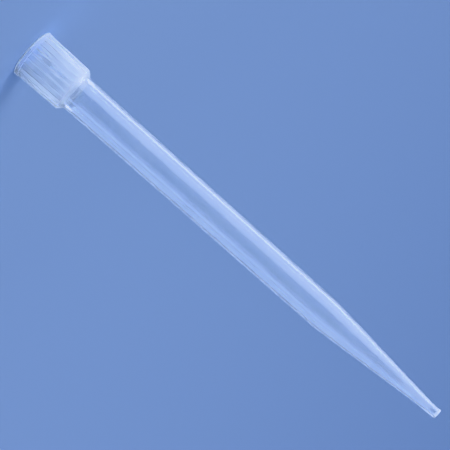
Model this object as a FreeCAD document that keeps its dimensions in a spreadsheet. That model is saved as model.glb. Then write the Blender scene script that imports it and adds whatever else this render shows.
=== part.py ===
"""A large pipette tip for volumes up to 5 ml, moulded in one piece from natural polypropylene.

The tip is a thin tube that narrows in steps: a ribbed collar that is pushed onto the pipette's
nozzle, a shoulder, a long barrel that holds the liquid, a knee, and a fine taper to the point.
It stands on its mouth, which is at height 0, with the point up. Lying down it would roll on its
rim. Millimetres and degrees throughout.
"""
import FreeCAD, Part
import os

import Sketcher

NODE = "pipette_tip"

SIZES = {
    # whole tip
    "length": 150.0,
    # collar, inside
    "seat_radius": 5.95,
    "seat_length": 13.8,
    "lead_in": 0.4,
    # collar, outside
    "collar_wall": 1.0,
    "rim_step": 0.15,
    "rim_width": 1.4,
    "rim_round": 0.3,
    "rib_height": 0.32,
    "rib_width": 0.55,
    "rib_count": 24,
    "rib_overlap": 0.2,
    "rib_bury": 0.3,
    "rib_stop": 0.15,
    "collar_length": 15.6,
    "collar_draft": 1.15,
    # shoulder and funnel
    "shoulder_length": 1.1,
    "shoulder_round": 0.3,
    "shoulder_fillet": 0.8,
    "funnel_length": 2.6,
    "funnel_round": 1.0,
    # barrel
    "barrel_radius": 5.42,
    "barrel_draft": 0.37,
    "barrel_wall": 0.65,
    "knee_round": 20.0,
    # taper and point
    "taper_length": 41.0,
    "point_radius": 1.45,
    "point_land": 2.6,
    "orifice_radius": 0.9,
    "point_round": 0.15,
}

# Heights along the axis, measured from the mouth.
MOUTH = "0"
RIB_START = "(sizes.rim_width - sizes.rib_overlap)"
RIB_END = "(sizes.collar_length - sizes.rib_stop)"
CREST_END = "(" + RIB_END + " - sizes.rib_height)"
SHOULDER_END = "(sizes.collar_length + sizes.shoulder_length)"
FUNNEL_END = "(sizes.seat_length + sizes.funnel_length)"
KNEE = "(sizes.length - sizes.taper_length)"
LAND_START = "(sizes.length - sizes.point_land)"

# A corner of a section that isn't rounded.
SHARP = ""

# Radii that follow from the drafts and the walls. The rim stands a little prouder than the ribs.
CREST_TOP = "(sizes.seat_radius + sizes.collar_wall + sizes.rib_height)"
RIM = "(" + CREST_TOP + " + sizes.rim_step)"
CREST = "(" + CREST_TOP + " - ({z} - " + RIB_START + ") * tan(sizes.collar_draft * 1 deg))"
ROOT = "(" + CREST + " - sizes.rib_height)"
BARREL = "(sizes.barrel_radius - ({z} - " + SHOULDER_END + ") * tan(sizes.barrel_draft * 1 deg))"
BARREL_BORE = "(" + BARREL + " - sizes.barrel_wall)"

doc = FreeCAD.newDocument("pipette_tip")
sheet = doc.addObject("Spreadsheet::Sheet", "sizes")
for row, (size_name, size_value) in enumerate(SIZES.items(), start=1):
    sheet.set(f"A{row}", size_name)
    sheet.set(f"B{row}", str(size_value))
    sheet.setAlias(f"B{row}", size_name)
doc.recompute()


def value(formula):
    """The number that a formula gives with the sheet's present sizes."""
    return float(sheet.evalExpression(formula))


def origin_feature(body, role):
    """One of the body's own planes or axes."""
    return next(item for item in body.Origin.OriginFeatures if item.Role == role)


def bind(sketch, constraint, formula):
    """Add a constraint and keep its value at a formula."""
    index = sketch.addConstraint(constraint)
    sketch.setExpression(f"Constraints[{index}]", formula)


def section(body, name, corners):
    """A closed outline in the plane through the axis; a corner is (radius, height, rounding)."""
    sketch = body.newObject("Sketcher::SketchObject", name)
    sketch.AttachmentSupport = (origin_feature(body, "XZ_Plane"), "")
    sketch.MapMode = "FlatFace"
    points = [FreeCAD.Vector(value(radius), value(height), 0) for radius, height, _ in corners]
    sides = len(points)
    for side in range(sides):
        sketch.addGeometry(Part.LineSegment(points[side], points[(side + 1) % sides]))
    for side in range(sides):
        sketch.addConstraint(Sketcher.Constraint("Coincident", side, 2, (side + 1) % sides, 1))
    held_points = []
    arcs = []
    for corner, (_, _, rounding) in enumerate(corners):
        if rounding == SHARP:
            held_points.append(corner)
        else:
            sketch.fillet(corner, 1, value(rounding), True, True)
            held_points.append(sketch.GeometryCount - 1)
            arcs.append((sketch.GeometryCount - 2, rounding))
    for arc, rounding in arcs:
        bind(sketch, Sketcher.Constraint("Radius", arc, value(rounding)), rounding)
    for point, (radius, height, _) in zip(held_points, corners):
        across = Sketcher.Constraint("DistanceX", -1, 1, point, 1, value(radius))
        bind(sketch, across, radius)
        if height == MOUTH:
            sketch.addConstraint(Sketcher.Constraint("PointOnObject", point, 1, -1))
        else:
            along = Sketcher.Constraint("DistanceY", -1, 1, point, 1, value(height))
            bind(sketch, along, height)
    doc.recompute()
    if not sketch.FullyConstrained:
        raise RuntimeError(f"{name} isn't fully constrained")
    return sketch


def wall_section():
    """The cut wall of the tip, from the mouth up the outside and back down the bore."""
    return [
        ("sizes.seat_radius + sizes.lead_in", MOUTH, SHARP),
        (RIM, MOUTH, "sizes.rim_round"),
        (RIM, "sizes.rim_width", SHARP),
        (ROOT.format(z="sizes.rim_width"), "sizes.rim_width", SHARP),
        (ROOT.format(z="sizes.collar_length"), "sizes.collar_length", "sizes.shoulder_round"),
        ("sizes.barrel_radius", SHOULDER_END, "sizes.shoulder_fillet"),
        (BARREL.format(z=KNEE), KNEE, "sizes.knee_round"),
        ("sizes.point_radius", LAND_START, SHARP),
        ("sizes.point_radius", "sizes.length", "sizes.point_round"),
        ("sizes.orifice_radius", "sizes.length", SHARP),
        ("sizes.orifice_radius", LAND_START, SHARP),
        (BARREL_BORE.format(z=KNEE), KNEE, "sizes.knee_round"),
        (BARREL_BORE.format(z=FUNNEL_END), FUNNEL_END, "sizes.funnel_round"),
        ("sizes.seat_radius", "sizes.seat_length", "sizes.funnel_round"),
        ("sizes.seat_radius", "sizes.lead_in", SHARP),
    ]


def rib_section():
    """The side of one rib, from inside the wall out to its crest, and sloped at its far end."""
    foot = "(" + ROOT.format(z=RIB_END) + " - sizes.rib_bury)"
    return [
        (foot, RIB_START, SHARP),
        (CREST_TOP, RIB_START, SHARP),
        (CREST.format(z=CREST_END), CREST_END, SHARP),
        (foot, "(" + RIB_END + " + sizes.rib_bury)", SHARP),
    ]


def make_tube(body):
    """The wall's section turned once around the axis."""
    tube = body.newObject("PartDesign::Revolution", "tube")
    tube.Profile = section(body, "tube_section", wall_section())
    tube.ReferenceAxis = (origin_feature(body, "Z_Axis"), [""])
    tube.Angle = 360
    doc.recompute()


def make_ribs(body):
    """One rib, repeated around the collar."""
    rib = body.newObject("PartDesign::Pad", "rib")
    rib.Profile = section(body, "rib_section", rib_section())
    rib.SideType = "Symmetric"
    rib.setExpression("Length", "sizes.rib_width")
    doc.recompute()
    ribs = body.newObject("PartDesign::PolarPattern", "ribs")
    ribs.Originals = [rib]
    ribs.Axis = (origin_feature(body, "Z_Axis"), [""])
    ribs.Angle = 360
    ribs.setExpression("Occurrences", "sizes.rib_count")
    body.Tip = ribs
    doc.recompute()


def check_document():
    """Stop if any object of the document failed."""
    for item in doc.Objects:
        if "Invalid" in item.State or "Error" in item.State:
            raise RuntimeError(f"{item.Label} failed: {item.State}")


def export(body):
    """Write the body's solid to parts/, in its place, and print its size."""
    shape = body.Shape
    if shape.isNull() or not shape.isValid() or len(shape.Solids) != 1:
        raise RuntimeError(f"{body.Label} isn't one sound solid")
    os.makedirs("parts", exist_ok=True)
    shape.exportStep(os.path.join("parts", f"{body.Label}.step"))
    box = shape.optimalBoundingBox()
    print(body.Label, "volume", round(shape.Volume, 1), "mm3")
    print("box", [round(n, 3) for n in (box.XMin, box.XMax, box.YMin, box.YMax, box.ZMin, box.ZMax)])


tip = doc.addObject("PartDesign::Body", NODE)
tip.Label = NODE
tip.Placement = FreeCAD.Placement(FreeCAD.Vector(0, 0, 0), FreeCAD.Rotation(0, 0, 0))
make_tube(tip)
make_ribs(tip)
check_document()
export(tip)
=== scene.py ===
# %% [markdown]
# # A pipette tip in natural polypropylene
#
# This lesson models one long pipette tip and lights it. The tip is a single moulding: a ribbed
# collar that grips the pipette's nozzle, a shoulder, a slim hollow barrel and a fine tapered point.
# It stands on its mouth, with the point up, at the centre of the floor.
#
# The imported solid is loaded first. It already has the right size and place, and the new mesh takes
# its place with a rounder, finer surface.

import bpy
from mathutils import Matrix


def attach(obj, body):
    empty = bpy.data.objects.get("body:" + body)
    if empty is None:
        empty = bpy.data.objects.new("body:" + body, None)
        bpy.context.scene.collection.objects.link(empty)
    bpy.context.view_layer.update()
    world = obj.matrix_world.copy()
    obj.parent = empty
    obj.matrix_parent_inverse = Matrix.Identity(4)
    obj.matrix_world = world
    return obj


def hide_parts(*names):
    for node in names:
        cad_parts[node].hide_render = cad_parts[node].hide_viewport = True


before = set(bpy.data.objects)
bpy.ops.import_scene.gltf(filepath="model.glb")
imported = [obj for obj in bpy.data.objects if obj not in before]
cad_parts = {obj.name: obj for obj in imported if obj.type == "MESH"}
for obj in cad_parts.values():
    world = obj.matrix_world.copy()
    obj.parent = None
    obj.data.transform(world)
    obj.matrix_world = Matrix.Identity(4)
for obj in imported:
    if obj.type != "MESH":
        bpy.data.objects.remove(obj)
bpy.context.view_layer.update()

# %% Tools used all through
import math

import bpy
from mathutils import Matrix

MM = 0.001
WELD = 0.001 * MM


def start_clean():
    """Leave edit mode and deselect every object, as an operator acts on all that is selected."""
    if bpy.context.mode != "OBJECT":
        bpy.ops.object.mode_set(mode="OBJECT")
    bpy.ops.object.select_all(action="DESELECT")


def pick(piece, wanted):
    """In edit mode, select the points of a piece for which wanted(place in mm) is true."""
    bpy.ops.mesh.select_mode(type="VERT")
    bpy.ops.mesh.select_all(action="DESELECT")
    bpy.ops.object.mode_set(mode="OBJECT")
    count = 0
    for point in piece.data.vertices:
        point.select = bool(wanted(point.co / MM))
        count += point.select
    bpy.ops.object.mode_set(mode="EDIT")
    return count


print("one millimetre is", MM, "metres; points closer than", WELD / MM, "mm are welded")

# %% [markdown]
# ## The section of the wall
#
# A tip like this is moulded around a long steel pin, so every part of it is turned around one axis.
# It could be drawn as a curve and given a Screw modifier. Here the section is drawn as a line of
# points, as a toolmaker draws it: up the outside from the mouth to the point, and back down the
# bore. Each corner is a radius, a height and the rounding that the mould has there.

# %% Sizes of the moulding, in millimetres
# Heights are measured from the mouth. The rim stands a little prouder than the ribs' crests.
SEAT_RADIUS, SEAT_END, LEAD_IN = 5.95, 13.8, 0.4
CREST_TOP, RIB_HEIGHT, RIB_START = 7.27, 0.32, 1.2
RIM_RADIUS, RIM_END = CREST_TOP + 0.15, 1.4
COLLAR_END, SHOULDER_END, FUNNEL_END = 15.6, 16.7, 16.4
BARREL_RADIUS, BARREL_WALL = 5.42, 0.65
KNEE, LAND, LENGTH = 109.0, 147.4, 150.0
POINT_RADIUS, ORIFICE_RADIUS = 1.45, 0.90
# A mould needs draft, a slight slant that lets the tip slide off the pin and out of the cavity.
COLLAR_DRAFT = math.tan(math.radians(1.15))
BARREL_DRAFT = math.tan(math.radians(0.37))


def collar_wall(height):
    """The radius of the collar between its ribs."""
    return CREST_TOP - RIB_HEIGHT - (height - RIB_START) * COLLAR_DRAFT


def barrel(height):
    """The outer radius of the barrel."""
    return BARREL_RADIUS - (height - SHOULDER_END) * BARREL_DRAFT


SECTION = [
    # radius, height, rounding, steps in the rounding
    (SEAT_RADIUS + LEAD_IN, 0.0, 0.10, 3),
    (RIM_RADIUS, 0.0, 0.30, 6),
    (RIM_RADIUS, RIM_END, 0.10, 3),
    (collar_wall(RIM_END), RIM_END, 0.05, 3),
    (collar_wall(COLLAR_END), COLLAR_END, 0.30, 5),
    (BARREL_RADIUS, SHOULDER_END, 0.80, 6),
    (barrel(KNEE), KNEE, 20.0, 8),
    (POINT_RADIUS, LAND, 8.0, 5),
    (POINT_RADIUS, LENGTH, 0.15, 5),
    (ORIFICE_RADIUS, LENGTH, 0.08, 3),
    (ORIFICE_RADIUS, LAND, 8.0, 5),
    (barrel(KNEE) - BARREL_WALL, KNEE, 20.0, 8),
    (barrel(FUNNEL_END) - BARREL_WALL, FUNNEL_END, 1.00, 6),
    (SEAT_RADIUS, SEAT_END, 1.00, 6),
    (SEAT_RADIUS, LEAD_IN, 0.15, 3),
]
print("corners in the section:", len(SECTION))

# %% [markdown]
# ## Drawing the section
#
# A primitive plane merged to its centre gives a single point. The point is moved to the first
# corner and extruded from corner to corner, and one more edge closes the loop. The corners are
# rounded afterwards by bevelling them as points. A bevel is as long as its rounding reaches along
# the straight, which is the radius times the tangent of half the turn.

# %% Draw the corners one after another
start_clean()
bpy.ops.mesh.primitive_plane_add(size=MM)
tip = bpy.context.object
tip.name = "moulded_tip"
bpy.ops.object.mode_set(mode="EDIT")
bpy.ops.mesh.merge(type="CENTER")
bpy.ops.transform.translate(value=(SECTION[0][0] * MM, 0, SECTION[0][1] * MM))
for before, after in zip(SECTION, SECTION[1:]):
    step = ((after[0] - before[0]) * MM, 0, (after[1] - before[1]) * MM)
    bpy.ops.mesh.extrude_vertices_move(TRANSFORM_OT_translate={"value": step})


def at_corner(corner):
    """A test for the point at one corner of the section."""
    radius, height = corner[:2]
    return lambda place: math.hypot(place.x - radius, place.z - height) < 0.001


first, last = at_corner(SECTION[0]), at_corner(SECTION[-1])
pick(tip, lambda place: first(place) or last(place))
bpy.ops.mesh.edge_face_add()
bpy.ops.object.mode_set(mode="OBJECT")
print("section:", len(tip.data.vertices), "points,", len(tip.data.edges), "edges")

# %% Round the corners
bpy.ops.object.mode_set(mode="EDIT")
for number, corner in enumerate(SECTION):
    radius, height, rounding, steps = corner
    before, after = SECTION[number - 1], SECTION[(number + 1) % len(SECTION)]
    heading_in = math.atan2(height - before[1], radius - before[0])
    heading_out = math.atan2(after[1] - height, after[0] - radius)
    turn = abs((heading_out - heading_in + math.pi) % (2 * math.pi) - math.pi)
    reach = rounding * math.tan(turn / 2)
    pick(tip, at_corner(corner))
    bpy.ops.mesh.bevel(offset=reach * MM, segments=steps, affect="VERTICES", offset_type="OFFSET")
bpy.ops.object.mode_set(mode="OBJECT")
print("rounded section:", len(tip.data.vertices), "points")

# %% [markdown]
# ## One pitch of the collar
#
# The collar has 24 straight ribs that give the fingers and the rack's ejector something to hold.
# They could be 24 bars joined to the tube, but a moulding has no joins, and bars would leave sharp
# inner corners where the light catches. So the wall is spun through one pitch only, 15 degrees from
# the middle of one rib to the middle of the next, in uneven steps that crowd together where the
# rib's side will be, and the wall itself is drawn out there into a ridge with soft corners.

# %% Spin the section through one pitch
PITCH = 15.0
COLUMNS = [
    # degrees from the middle of a rib, share of the rib's height
    (0.00, 1.00),
    (0.70, 1.00),
    (1.25, 0.98),
    (1.65, 0.88),
    (1.95, 0.66),
    (2.20, 0.36),
    (2.45, 0.13),
    (2.80, 0.02),
    (3.30, 0.00),
    (4.40, 0.00),
    (5.90, 0.00),
    (7.50, 0.00),
]
half_pitch = [angle for angle, _ in COLUMNS]
stops = half_pitch + [PITCH - angle for angle in reversed(half_pitch[:-1])]
bpy.ops.object.mode_set(mode="EDIT")
bpy.ops.mesh.select_all(action="SELECT")
for here, there in zip(stops, stops[1:]):
    bpy.ops.mesh.spin(steps=1, angle=math.radians(there - here), center=(0, 0, 0), axis=(0, 0, 1))
bpy.ops.object.mode_set(mode="OBJECT")
print("one pitch:", len(tip.data.polygons), "faces")

# %% [markdown]
# ## Rows across the wall
#
# The wall is straight between its corners, so it has no points there. Smooth shading blends the
# slant of the faces on both sides of a point, and a very long face next to a short rounding would
# look bent all along its length. A few cuts with Bisect, close to each rounding, hold the shading
# flat, and a few more give the ribs the rows that their sloped ends need.

# %% Cut the rows
RIB_ROWS = [
    # height, share of the rib's height; the first row is the foot of the rim's step
    (1.425, 1.00),
    (1.50, 1.00),
    (3.00, 1.00),
    (8.00, 1.00),
    (14.20, 1.00),
    (14.95, 0.99),
    (15.08, 0.93),
    (15.18, 0.80),
    (15.27, 0.56),
    (15.35, 0.28),
    (15.42, 0.08),
]
HOLDING_ROWS = [0.7, 16.2, 18.5, 24.0, 60.0, 100.0, 106.0, 112.0, 118.0, 130.0, 142.0, 148.6, 149.6]
bpy.ops.object.mode_set(mode="EDIT")
for height in [height for height, _ in RIB_ROWS[1:]] + HOLDING_ROWS:
    bpy.ops.mesh.select_all(action="SELECT")
    bpy.ops.mesh.bisect(plane_co=(0, 0, height * MM), plane_no=(0, 0, 1), threshold=WELD)
bpy.ops.object.mode_set(mode="OBJECT")
print("one pitch with its rows:", len(tip.data.polygons), "faces")

# %% Draw the rib out of the wall
lift = RIB_HEIGHT / collar_wall(RIB_START)


def off_rib(place):
    """Degrees between a point and the middle of the nearest rib."""
    angle = abs(math.degrees(math.atan2(place.y, place.x))) % PITCH
    return min(angle, PITCH - angle)


def on_rib(angle, height):
    """A test for the outer points of the wall in one column and one row."""
    near_row, near_column, near_wall = 0.027, 0.02, 0.06

    def wanted(place):
        return (
            abs(place.z - height) < near_row
            and abs(off_rib(place) - angle) < near_column
            and abs(math.hypot(place.x, place.y) - collar_wall(height)) < near_wall
        )

    return wanted


bpy.ops.object.mode_set(mode="EDIT")
moved = 0
for angle, across in COLUMNS:
    for height, along in RIB_ROWS:
        if across * along == 0:
            continue
        moved += pick(tip, on_rib(angle, height))
        grow = 1 + lift * across * along
        bpy.ops.transform.resize(value=(grow, grow, 1), center_override=(0, 0, 0))
bpy.ops.object.mode_set(mode="OBJECT")
print("points drawn out for the rib:", moved)

# %% Copy the pitch around the axis and weld it
bpy.ops.object.mode_set(mode="EDIT")
bpy.ops.mesh.select_all(action="SELECT")
copies = round(360 / PITCH) - 1
bpy.ops.mesh.spin(
    dupli=True, steps=copies, angle=math.radians(copies * PITCH), center=(0, 0, 0), axis=(0, 0, 1)
)
bpy.ops.mesh.select_all(action="SELECT")
bpy.ops.mesh.remove_doubles(threshold=WELD)
bpy.ops.mesh.normals_make_consistent(inside=False)
bpy.ops.mesh.select_all(action="DESELECT")
bpy.ops.mesh.select_mode(type="VERT")
bpy.ops.mesh.select_non_manifold()
bpy.ops.object.mode_set(mode="OBJECT")
open_points = sum(point.select for point in tip.data.vertices)
bpy.ops.object.shade_smooth()
print("tip:", len(tip.data.polygons), "faces, open points:", open_points)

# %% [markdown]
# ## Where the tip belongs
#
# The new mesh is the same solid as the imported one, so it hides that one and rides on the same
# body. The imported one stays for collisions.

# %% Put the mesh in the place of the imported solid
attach(tip, "root")
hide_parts("pipette_tip")
print("the tip rides on root and stands for pipette_tip")

# %% [markdown]
# ## Natural polypropylene
#
# The tip is injection moulded from natural, uncoloured polypropylene. Its tiny crystals scatter
# light, so a thin wall looks clear with a milky veil, and a thick one looks white. A glass shader
# alone would look like glass, and a white shader alone like paint. Here most of the light passes
# through the surface and bends, a volume inside the wall scatters a little of it on the way, and
# a small share is scattered just under the skin.

# %% Tools for the materials
def sheet_colour(code):
    """A colour from its sRGB hex code, as linear red, green and blue, with full opacity."""
    shares = [int(code[place:place + 2], 16) / 255 for place in (1, 3, 5)]
    linear = [c / 12.92 if c <= 0.04045 else ((c + 0.055) / 1.055) ** 2.4 for c in shares]
    return (*linear, 1.0)


def add_node(material, kind, settings=None, values=None, links=None):
    """Add a node to a material: its settings, the values of its sockets, and what feeds them."""
    node = material.node_tree.nodes.new(kind)
    for name, setting in (settings or {}).items():
        setattr(node, name, setting)
    for name, number in (values or {}).items():
        node.inputs[name].default_value = number
    for name, source in (links or {}).items():
        material.node_tree.links.new(source, node.inputs[name])
    return node


print("mould white, linear:", [round(share, 3) for share in sheet_colour("#F4F9FF")[:3]])

# %% The plastic and its milky veil
polypropylene = bpy.data.materials.new("moulded_natural_polypropylene")
polypropylene.use_nodes = True
surface = polypropylene.node_tree.nodes["Principled BSDF"]
surface.inputs["Base Color"].default_value = sheet_colour("#F4F9FF")
surface.inputs["IOR"].default_value = 1.49
surface.inputs["Subsurface Weight"].default_value = 1.0
surface.inputs["Subsurface Radius"].default_value = (1.0, 1.0, 1.0)
surface.inputs["Subsurface Scale"].default_value = 1.0 * MM
veil = add_node(
    polypropylene,
    "ShaderNodeVolumeScatter",
    values={"Color": sheet_colour("#FAFCFF"), "Density": 170.0, "Anisotropy": 0.4},
)
wires = polypropylene.node_tree.links
wires.new(veil.outputs["Volume"], polypropylene.node_tree.nodes["Material Output"].inputs["Volume"])
tip.data.materials.append(polypropylene)
print("material:", polypropylene.name)

# %% [markdown]
# Light that enters a milky wall is scattered many times before it leaves. The render counts these
# turns, and with its usual count of none for a volume the veil would swallow the light and look
# grey, so the counts are raised.

# %% Let the light turn often enough
turns = bpy.context.scene.cycles
turns.volume_bounces = 12
turns.max_bounces = 24
turns.transmission_bounces = 20
print("turns in the veil:", turns.volume_bounces)

# %% [markdown]
# ## Clear barrel, milky collar
#
# The barrel and the taper are moulded against polished steel, so that a drop doesn't cling to them,
# and they are clear and glossy. The collar is thicker and its cavity is only ground, so it is
# milkier. The slots for the ribs are spark eroded, which leaves a fine frost on their crests. The
# two rims at the mouth and the point get a painted glow: they are made whiter, and rougher, to stand
# in for the light that travels inside the wall and comes out at both ends.
# All of this goes by place: the height is Z, and the distance from the axis is the length of X
# and Y together. A vertex group could hold it too, but the nodes need no painting.

# %% Height and distance from the axis
MILKY_TO, CLEAR_FROM = 15.0, 18.0
place = add_node(polypropylene, "ShaderNodeTexCoord")
parts = add_node(polypropylene, "ShaderNodeSeparateXYZ", links={"Vector": place.outputs["Object"]})
across = add_node(
    polypropylene,
    "ShaderNodeVectorMath",
    settings={"operation": "MULTIPLY"},
    values={1: (1, 1, 0)},
    links={0: place.outputs["Object"]},
)
from_axis = add_node(
    polypropylene,
    "ShaderNodeVectorMath",
    settings={"operation": "LENGTH"},
    links={0: across.outputs["Vector"]},
)
print("nodes so far:", len(polypropylene.node_tree.nodes))

# %% Frost on the crests of the ribs
FROST = 0.05
crest_line = CREST_TOP + RIB_START * COLLAR_DRAFT
without_draft = add_node(
    polypropylene,
    "ShaderNodeMath",
    settings={"operation": "MULTIPLY_ADD"},
    values={1: COLLAR_DRAFT},
    links={0: parts.outputs["Z"], 2: from_axis.outputs["Value"]},
)
on_crest = add_node(
    polypropylene,
    "ShaderNodeMapRange",
    settings={"interpolation_type": "SMOOTHSTEP"},
    values={"From Min": (crest_line - 0.14) * MM, "From Max": (crest_line - 0.03) * MM},
    links={"Value": without_draft.outputs["Value"]},
)
past_rim = add_node(
    polypropylene,
    "ShaderNodeMapRange",
    settings={"interpolation_type": "SMOOTHSTEP"},
    values={"From Min": RIM_END * MM, "From Max": (RIM_END + 0.3) * MM, "To Max": FROST},
    links={"Value": parts.outputs["Z"]},
)
frost = add_node(
    polypropylene,
    "ShaderNodeMath",
    settings={"operation": "MULTIPLY"},
    links={0: on_crest.outputs["Result"], 1: past_rim.outputs["Result"]},
)
print("radius of the crests at the mouth, mm:", round(crest_line, 3))

# %% Painted glow at the mouth and at the point
# A painted glow: the rims are made whiter, standing in for light that leaves the wall at both ends.
RIM_PAINTED_GLOW = 0.35
mouth_painted_glow = add_node(
    polypropylene,
    "ShaderNodeMapRange",
    settings={"interpolation_type": "SMOOTHSTEP"},
    values={"From Min": 0.1 * MM, "From Max": 0.7 * MM, "To Min": RIM_PAINTED_GLOW, "To Max": 0.0},
    links={"Value": parts.outputs["Z"]},
)
point_painted_glow = add_node(
    polypropylene,
    "ShaderNodeMapRange",
    settings={"interpolation_type": "SMOOTHSTEP"},
    values={
        "From Min": (LENGTH - 0.7) * MM,
        "From Max": (LENGTH - 0.1) * MM,
        "To Max": RIM_PAINTED_GLOW,
    },
    links={"Value": parts.outputs["Z"]},
)
# The frost and the painted glow at the two rims are joined into one mask.
frost_and_mouth_glow = add_node(
    polypropylene,
    "ShaderNodeMath",
    settings={"operation": "MAXIMUM"},
    links={0: frost.outputs["Value"], 1: mouth_painted_glow.outputs["Result"]},
)
frost_and_painted_glow = add_node(
    polypropylene,
    "ShaderNodeMath",
    settings={"operation": "MAXIMUM"},
    links={0: frost_and_mouth_glow.outputs["Value"], 1: point_painted_glow.outputs["Result"]},
)
print("nodes so far:", len(polypropylene.node_tree.nodes))

# %% [markdown]
# ## Haze in the wall
#
# The melt flows along the tip and cools unevenly, so the haze isn't even: it lies in faint clouds
# a few millimetres across and several times as long. A noise pattern gives them, and a Mapping node
# squeezes its height so that the clouds stretch along the tip. They only take a little off what
# passes through.

# %% Clouds of haze, 5 mm wide and 20 mm long
along_flow = add_node(
    polypropylene,
    "ShaderNodeMapping",
    values={"Scale": (1, 1, 0.25)},
    links={"Vector": place.outputs["Object"]},
)
clouds = add_node(
    polypropylene,
    "ShaderNodeTexNoise",
    values={"Scale": 1 / (5 * MM), "Detail": 3.0, "Roughness": 0.55},
    links={"Vector": along_flow.outputs["Vector"]},
)
cloud_haze = add_node(
    polypropylene,
    "ShaderNodeMapRange",
    values={"From Min": 0.35, "From Max": 0.75, "To Max": 0.04},
    links={"Value": clouds.outputs["Fac"]},
)
# What is taken off the light that passes: the clouds, the frost, and the painted glow at the rims.
haze = add_node(
    polypropylene,
    "ShaderNodeMath",
    settings={"operation": "ADD"},
    links={0: frost_and_painted_glow.outputs["Value"], 1: cloud_haze.outputs["Result"]},
)
clear_by_height = add_node(
    polypropylene,
    "ShaderNodeMapRange",
    settings={"interpolation_type": "SMOOTHSTEP"},
    values={"From Min": MILKY_TO * MM, "From Max": CLEAR_FROM * MM, "To Min": 0.90, "To Max": 0.99},
    links={"Value": parts.outputs["Z"]},
)
passed = add_node(
    polypropylene,
    "ShaderNodeMath",
    settings={"operation": "SUBTRACT"},
    links={0: clear_by_height.outputs["Result"], 1: haze.outputs["Value"]},
)
wires.new(passed.outputs["Value"], surface.inputs["Transmission Weight"])
print("share of light that passes: collar 0.90, barrel 0.99, less the haze")

# %% [markdown]
# ## Polish and draw marks
#
# The cavity is polished along its length, because the tip is drawn out that way, so what is left of
# the polishing are fine lines along the tip, about 0.02 mm apart. Those are too fine to show, so
# they are drawn 0.25 mm apart. The wall also shrinks as it cools, which leaves slow waves a few
# millimetres long that make the long reflections waver. Both are bumps, and the lines also change
# the roughness a little.

# %% Fine lines from polishing, drawn 0.25 mm apart
along_draw = add_node(
    polypropylene,
    "ShaderNodeMapping",
    values={"Scale": (1, 1, 0.02)},
    links={"Vector": place.outputs["Object"]},
)
lines = add_node(
    polypropylene,
    "ShaderNodeTexNoise",
    values={"Scale": 1 / (0.25 * MM), "Detail": 1.0},
    links={"Vector": along_draw.outputs["Vector"]},
)
line_roughness = add_node(
    polypropylene,
    "ShaderNodeMapRange",
    values={"From Min": 0.3, "From Max": 0.7, "To Max": 0.05},
    links={"Value": lines.outputs["Fac"]},
)
polish = add_node(
    polypropylene,
    "ShaderNodeMapRange",
    settings={"interpolation_type": "SMOOTHSTEP"},
    values={"From Min": MILKY_TO * MM, "From Max": CLEAR_FROM * MM, "To Min": 0.15, "To Max": 0.07},
    links={"Value": parts.outputs["Z"]},
)
polish_and_lines = add_node(
    polypropylene,
    "ShaderNodeMath",
    settings={"operation": "ADD"},
    links={0: polish.outputs["Result"], 1: line_roughness.outputs["Result"]},
)
roughness = add_node(
    polypropylene,
    "ShaderNodeMath",
    settings={"operation": "MULTIPLY_ADD"},
    values={1: 0.6},
    links={0: frost_and_painted_glow.outputs["Value"], 2: polish_and_lines.outputs["Value"]},
)
wires.new(roughness.outputs["Value"], surface.inputs["Roughness"])
print("roughness: collar 0.15, barrel 0.07, rougher where it is frosted")

# %% Slow waves and fine lines as bumps
waves = add_node(
    polypropylene,
    "ShaderNodeTexNoise",
    values={"Scale": 1 / (6 * MM), "Detail": 1.0},
    links={"Vector": along_flow.outputs["Vector"]},
)
wave_bump = add_node(
    polypropylene,
    "ShaderNodeBump",
    values={"Strength": 1.0, "Distance": 0.012 * MM},
    links={"Height": waves.outputs["Fac"]},
)
line_bump = add_node(
    polypropylene,
    "ShaderNodeBump",
    values={"Strength": 1.0, "Distance": 0.0006 * MM},
    links={"Height": lines.outputs["Fac"], "Normal": wave_bump.outputs["Normal"]},
)
wires.new(line_bump.outputs["Normal"], surface.inputs["Normal"])
print("nodes in the plastic:", len(polypropylene.node_tree.nodes))

# %% [markdown]
# ## The studio
#
# The tip stands on a plain pale floor. The floor turns up into a low wall far away on all sides,
# like a photographer's cove, so that no edge or horizon shows behind the tip. A ring of planes
# would show its seams, so the section of the cove is drawn and spun, as the tip was. It is a board
# with matt emulsion paint, which has no gloss, so it shows no mirror image of the tip. It is pale
# blue, because clear plastic is hard to see in front of white.

# %% A round floor with a coved edge
FLAT_FLOOR, CURVED_FLOOR, WALL_HEIGHT, COVE_ROUND = 0.3, 0.7, 0.7, 0.69
start_clean()
bpy.ops.mesh.primitive_plane_add(size=MM)
cove = bpy.context.object
cove.name = "studio_floor"
bpy.ops.object.mode_set(mode="EDIT")
bpy.ops.mesh.merge(type="CENTER")
for step in [(FLAT_FLOOR, 0, 0), (CURVED_FLOOR, 0, 0), (0, 0, WALL_HEIGHT)]:
    bpy.ops.mesh.extrude_vertices_move(TRANSFORM_OT_translate={"value": step})
corner = (FLAT_FLOOR + CURVED_FLOOR) / MM
pick(cove, lambda place: math.hypot(place.x - corner, place.z) < 1)
bpy.ops.mesh.bevel(offset=COVE_ROUND, segments=24, affect="VERTICES", offset_type="OFFSET")
bpy.ops.mesh.select_all(action="SELECT")
bpy.ops.mesh.spin(steps=96, angle=math.radians(360), center=(0, 0, 0), axis=(0, 0, 1))
bpy.ops.mesh.select_all(action="SELECT")
bpy.ops.mesh.remove_doubles(threshold=0.01 * MM)
bpy.ops.mesh.normals_make_consistent(inside=True)
bpy.ops.object.mode_set(mode="OBJECT")
bpy.ops.object.shade_smooth()
print("floor:", len(cove.data.polygons), "faces")

# %% Matt paint for the floor
floor_paint = bpy.data.materials.new("matt_floor_paint")
floor_paint.use_nodes = True
paint = floor_paint.node_tree.nodes["Principled BSDF"]
paint.inputs["Base Color"].default_value = sheet_colour("#8CA6D1")
paint.inputs["Roughness"].default_value = 0.9
paint.inputs["Specular IOR Level"].default_value = 0.1
cove.data.materials.append(floor_paint)
print("floor paint:", floor_paint.name)

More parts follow.
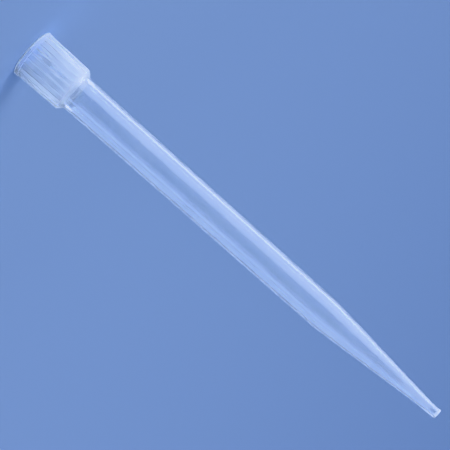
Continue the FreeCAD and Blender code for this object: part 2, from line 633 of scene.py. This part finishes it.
# %% [markdown]
# ## Light for a clear thing
#
# A clear tube has hardly any shading of its own. What shows its form is the long bands where it
# mirrors and bends the lights around it. A wall turned by some angle mirrors a light that stands
# at twice that angle, so each band needs its own tall light at its own place in a ring. Eight tall
# soft panels stand 60 mm from the tip, like a light tent. The brightest, behind its left side,
# draws the line along that edge, one on each side of it softens the line, and two more in front
# make the broad paler band beside it. On the right one panel makes the light band and two faint
# ones round off the edge. The ring has gaps where a panel would stand straight behind the tip for
# someone who walks around it, because a panel there would fill the clear barrel with white.
#
# Milky plastic is lit by what sinks into it rather than by what it mirrors. Three broad panels
# higher up look down on the tip for that, the left one much the brightest, so that the collar has
# a light side. Two small ones stand low beside the collar and brighten its edges. The camera sees
# none of the panels. They light the tip alone, through light linking, so that they leave no bright
# patches on the floor, and the sky lights the floor evenly.

# %% A helper that hangs a panel
lit = bpy.data.collections.new("lit_by_panels")
lit.objects.link(tip)


def hang_panel(name, angle, half_angle, brightness, distance, middle, tall, down=0):
    """Hang a soft panel that faces the axis and lights the tip alone.

    The angle is in degrees from the camera's side. Half the angle that the panel fills, seen from
    the axis, gives its width. Its distance, its middle's height and how tall it is are in metres,
    and it looks down by some degrees.
    """
    panel = bpy.data.lights.new(name, "AREA")
    panel.shape = "RECTANGLE"
    panel.size = 2 * distance * math.tan(math.radians(half_angle))
    panel.size_y = tall
    panel.energy = math.pi * brightness * panel.size * panel.size_y
    panel.color = sheet_colour("#D2E2FF")[:3]
    lamp = bpy.data.objects.new(name, panel)
    bpy.context.collection.objects.link(lamp)
    turned = math.radians(angle)
    lamp.location = (distance * math.sin(turned), -distance * math.cos(turned), middle)
    lamp.rotation_euler = (math.radians(90 - down), 0, turned)
    lamp.visible_camera = False
    lamp.light_linking.receiver_collection = lit


# %% Eight tall panels in a ring
RING = [
    # name, degrees from the camera's side, half the angle it fills, brightness
    ("left_front_panel", -42, 9, 2.6),
    ("left_panel", -60, 9, 3.4),
    ("left_side_panel", -77, 6, 6.5),
    ("left_back_panel", -106, 7, 9),
    ("left_far_panel", -120, 6, 3.5),
    ("right_front_panel", 60, 5, 4),
    ("right_side_panel", 105, 12, 0.3),
    ("right_back_panel", 155, 5, 1),
]
for name, angle, half_angle, brightness in RING:
    hang_panel(name, angle, half_angle, brightness, distance=0.06, middle=0.101, tall=0.2)
print("panels in the ring:", len(RING))

# %% High panels for the milk, and low ones beside the collar
for name, angle, brightness in [
    ("high_left_panel", -90, 14),
    ("high_front_panel", 0, 3),
    ("high_right_panel", 90, 1),
]:
    hang_panel(name, angle, 35, brightness, distance=0.3, middle=0.4, tall=0.3, down=48)
for name, angle in [("low_left_panel", -112), ("low_right_panel", 112)]:
    hang_panel(name, angle, 12, 9, distance=0.03, middle=0.008, tall=0.014)

# %% [markdown]
# The sky is a plain soft white, weaker than the panels that draw the bands, so that the bands stay
# brighter than what is around them. A tone curve then fits the light to what a screen can show.
# Blender's usual one greys clear plastic, so the neutral one is taken, which keeps the colours.

# %% The sky and the tone curve
sky = bpy.data.worlds.new("studio_sky")
sky.use_nodes = True
sky.node_tree.nodes["Background"].inputs["Color"].default_value = sheet_colour("#EAF1FB")
sky.node_tree.nodes["Background"].inputs["Strength"].default_value = 0.88
bpy.context.scene.world = sky
bpy.context.scene.view_settings.view_transform = "Khronos PBR Neutral"
bpy.context.scene.view_settings.exposure = 0.0
print("tone curve:", bpy.context.scene.view_settings.view_transform)

# %% [markdown]
# The sky alone gives hardly any shadow, and the tip would seem to float. A sun with a wide disc
# lights the floor alone and gives a soft shadow at the tip's foot, on the side away from the bright
# panels. It stands high, so that the cove's wall behind the tip stays about as pale as the floor.

# %% A soft sun for the shadow
SUN_DISC, SUN_TILT, SUN_TURN = 25, 27, -60
floor_alone = bpy.data.collections.new("lit_by_sun")
floor_alone.objects.link(cove)
sun = bpy.data.lights.new("soft_sun", "SUN")
sun.energy = 0.9
sun.angle = math.radians(SUN_DISC)
sun_lamp = bpy.data.objects.new("soft_sun", sun)
bpy.context.collection.objects.link(sun_lamp)
sun_lamp.rotation_euler = (math.radians(SUN_TILT), 0, math.radians(SUN_TURN))
sun_lamp.light_linking.receiver_collection = floor_alone

# %% [markdown]
# ## The camera
#
# The camera looks straight at the side of the tip from 332 mm away, level with the middle of its
# barrel, and is turned about its own line of sight until the tip runs across the picture from the
# upper left to the lower right, mouth first.

# %% Set up the camera
CAMERA_AWAY, CAMERA_HEIGHT, CAMERA_ROLL = 0.332, 0.0715, 131.71
lens = bpy.data.cameras.new("camera")
lens.sensor_width = 36
lens.lens = 96.07
camera = bpy.data.objects.new("camera", lens)
bpy.context.collection.objects.link(camera)
camera.location = (0, -CAMERA_AWAY, CAMERA_HEIGHT)
level = Matrix.Rotation(math.radians(90), 4, "X")
camera.rotation_euler = (level @ Matrix.Rotation(math.radians(CAMERA_ROLL), 4, "Z")).to_euler()
bpy.context.scene.camera = camera
print("camera at", tuple(round(n, 4) for n in camera.location))
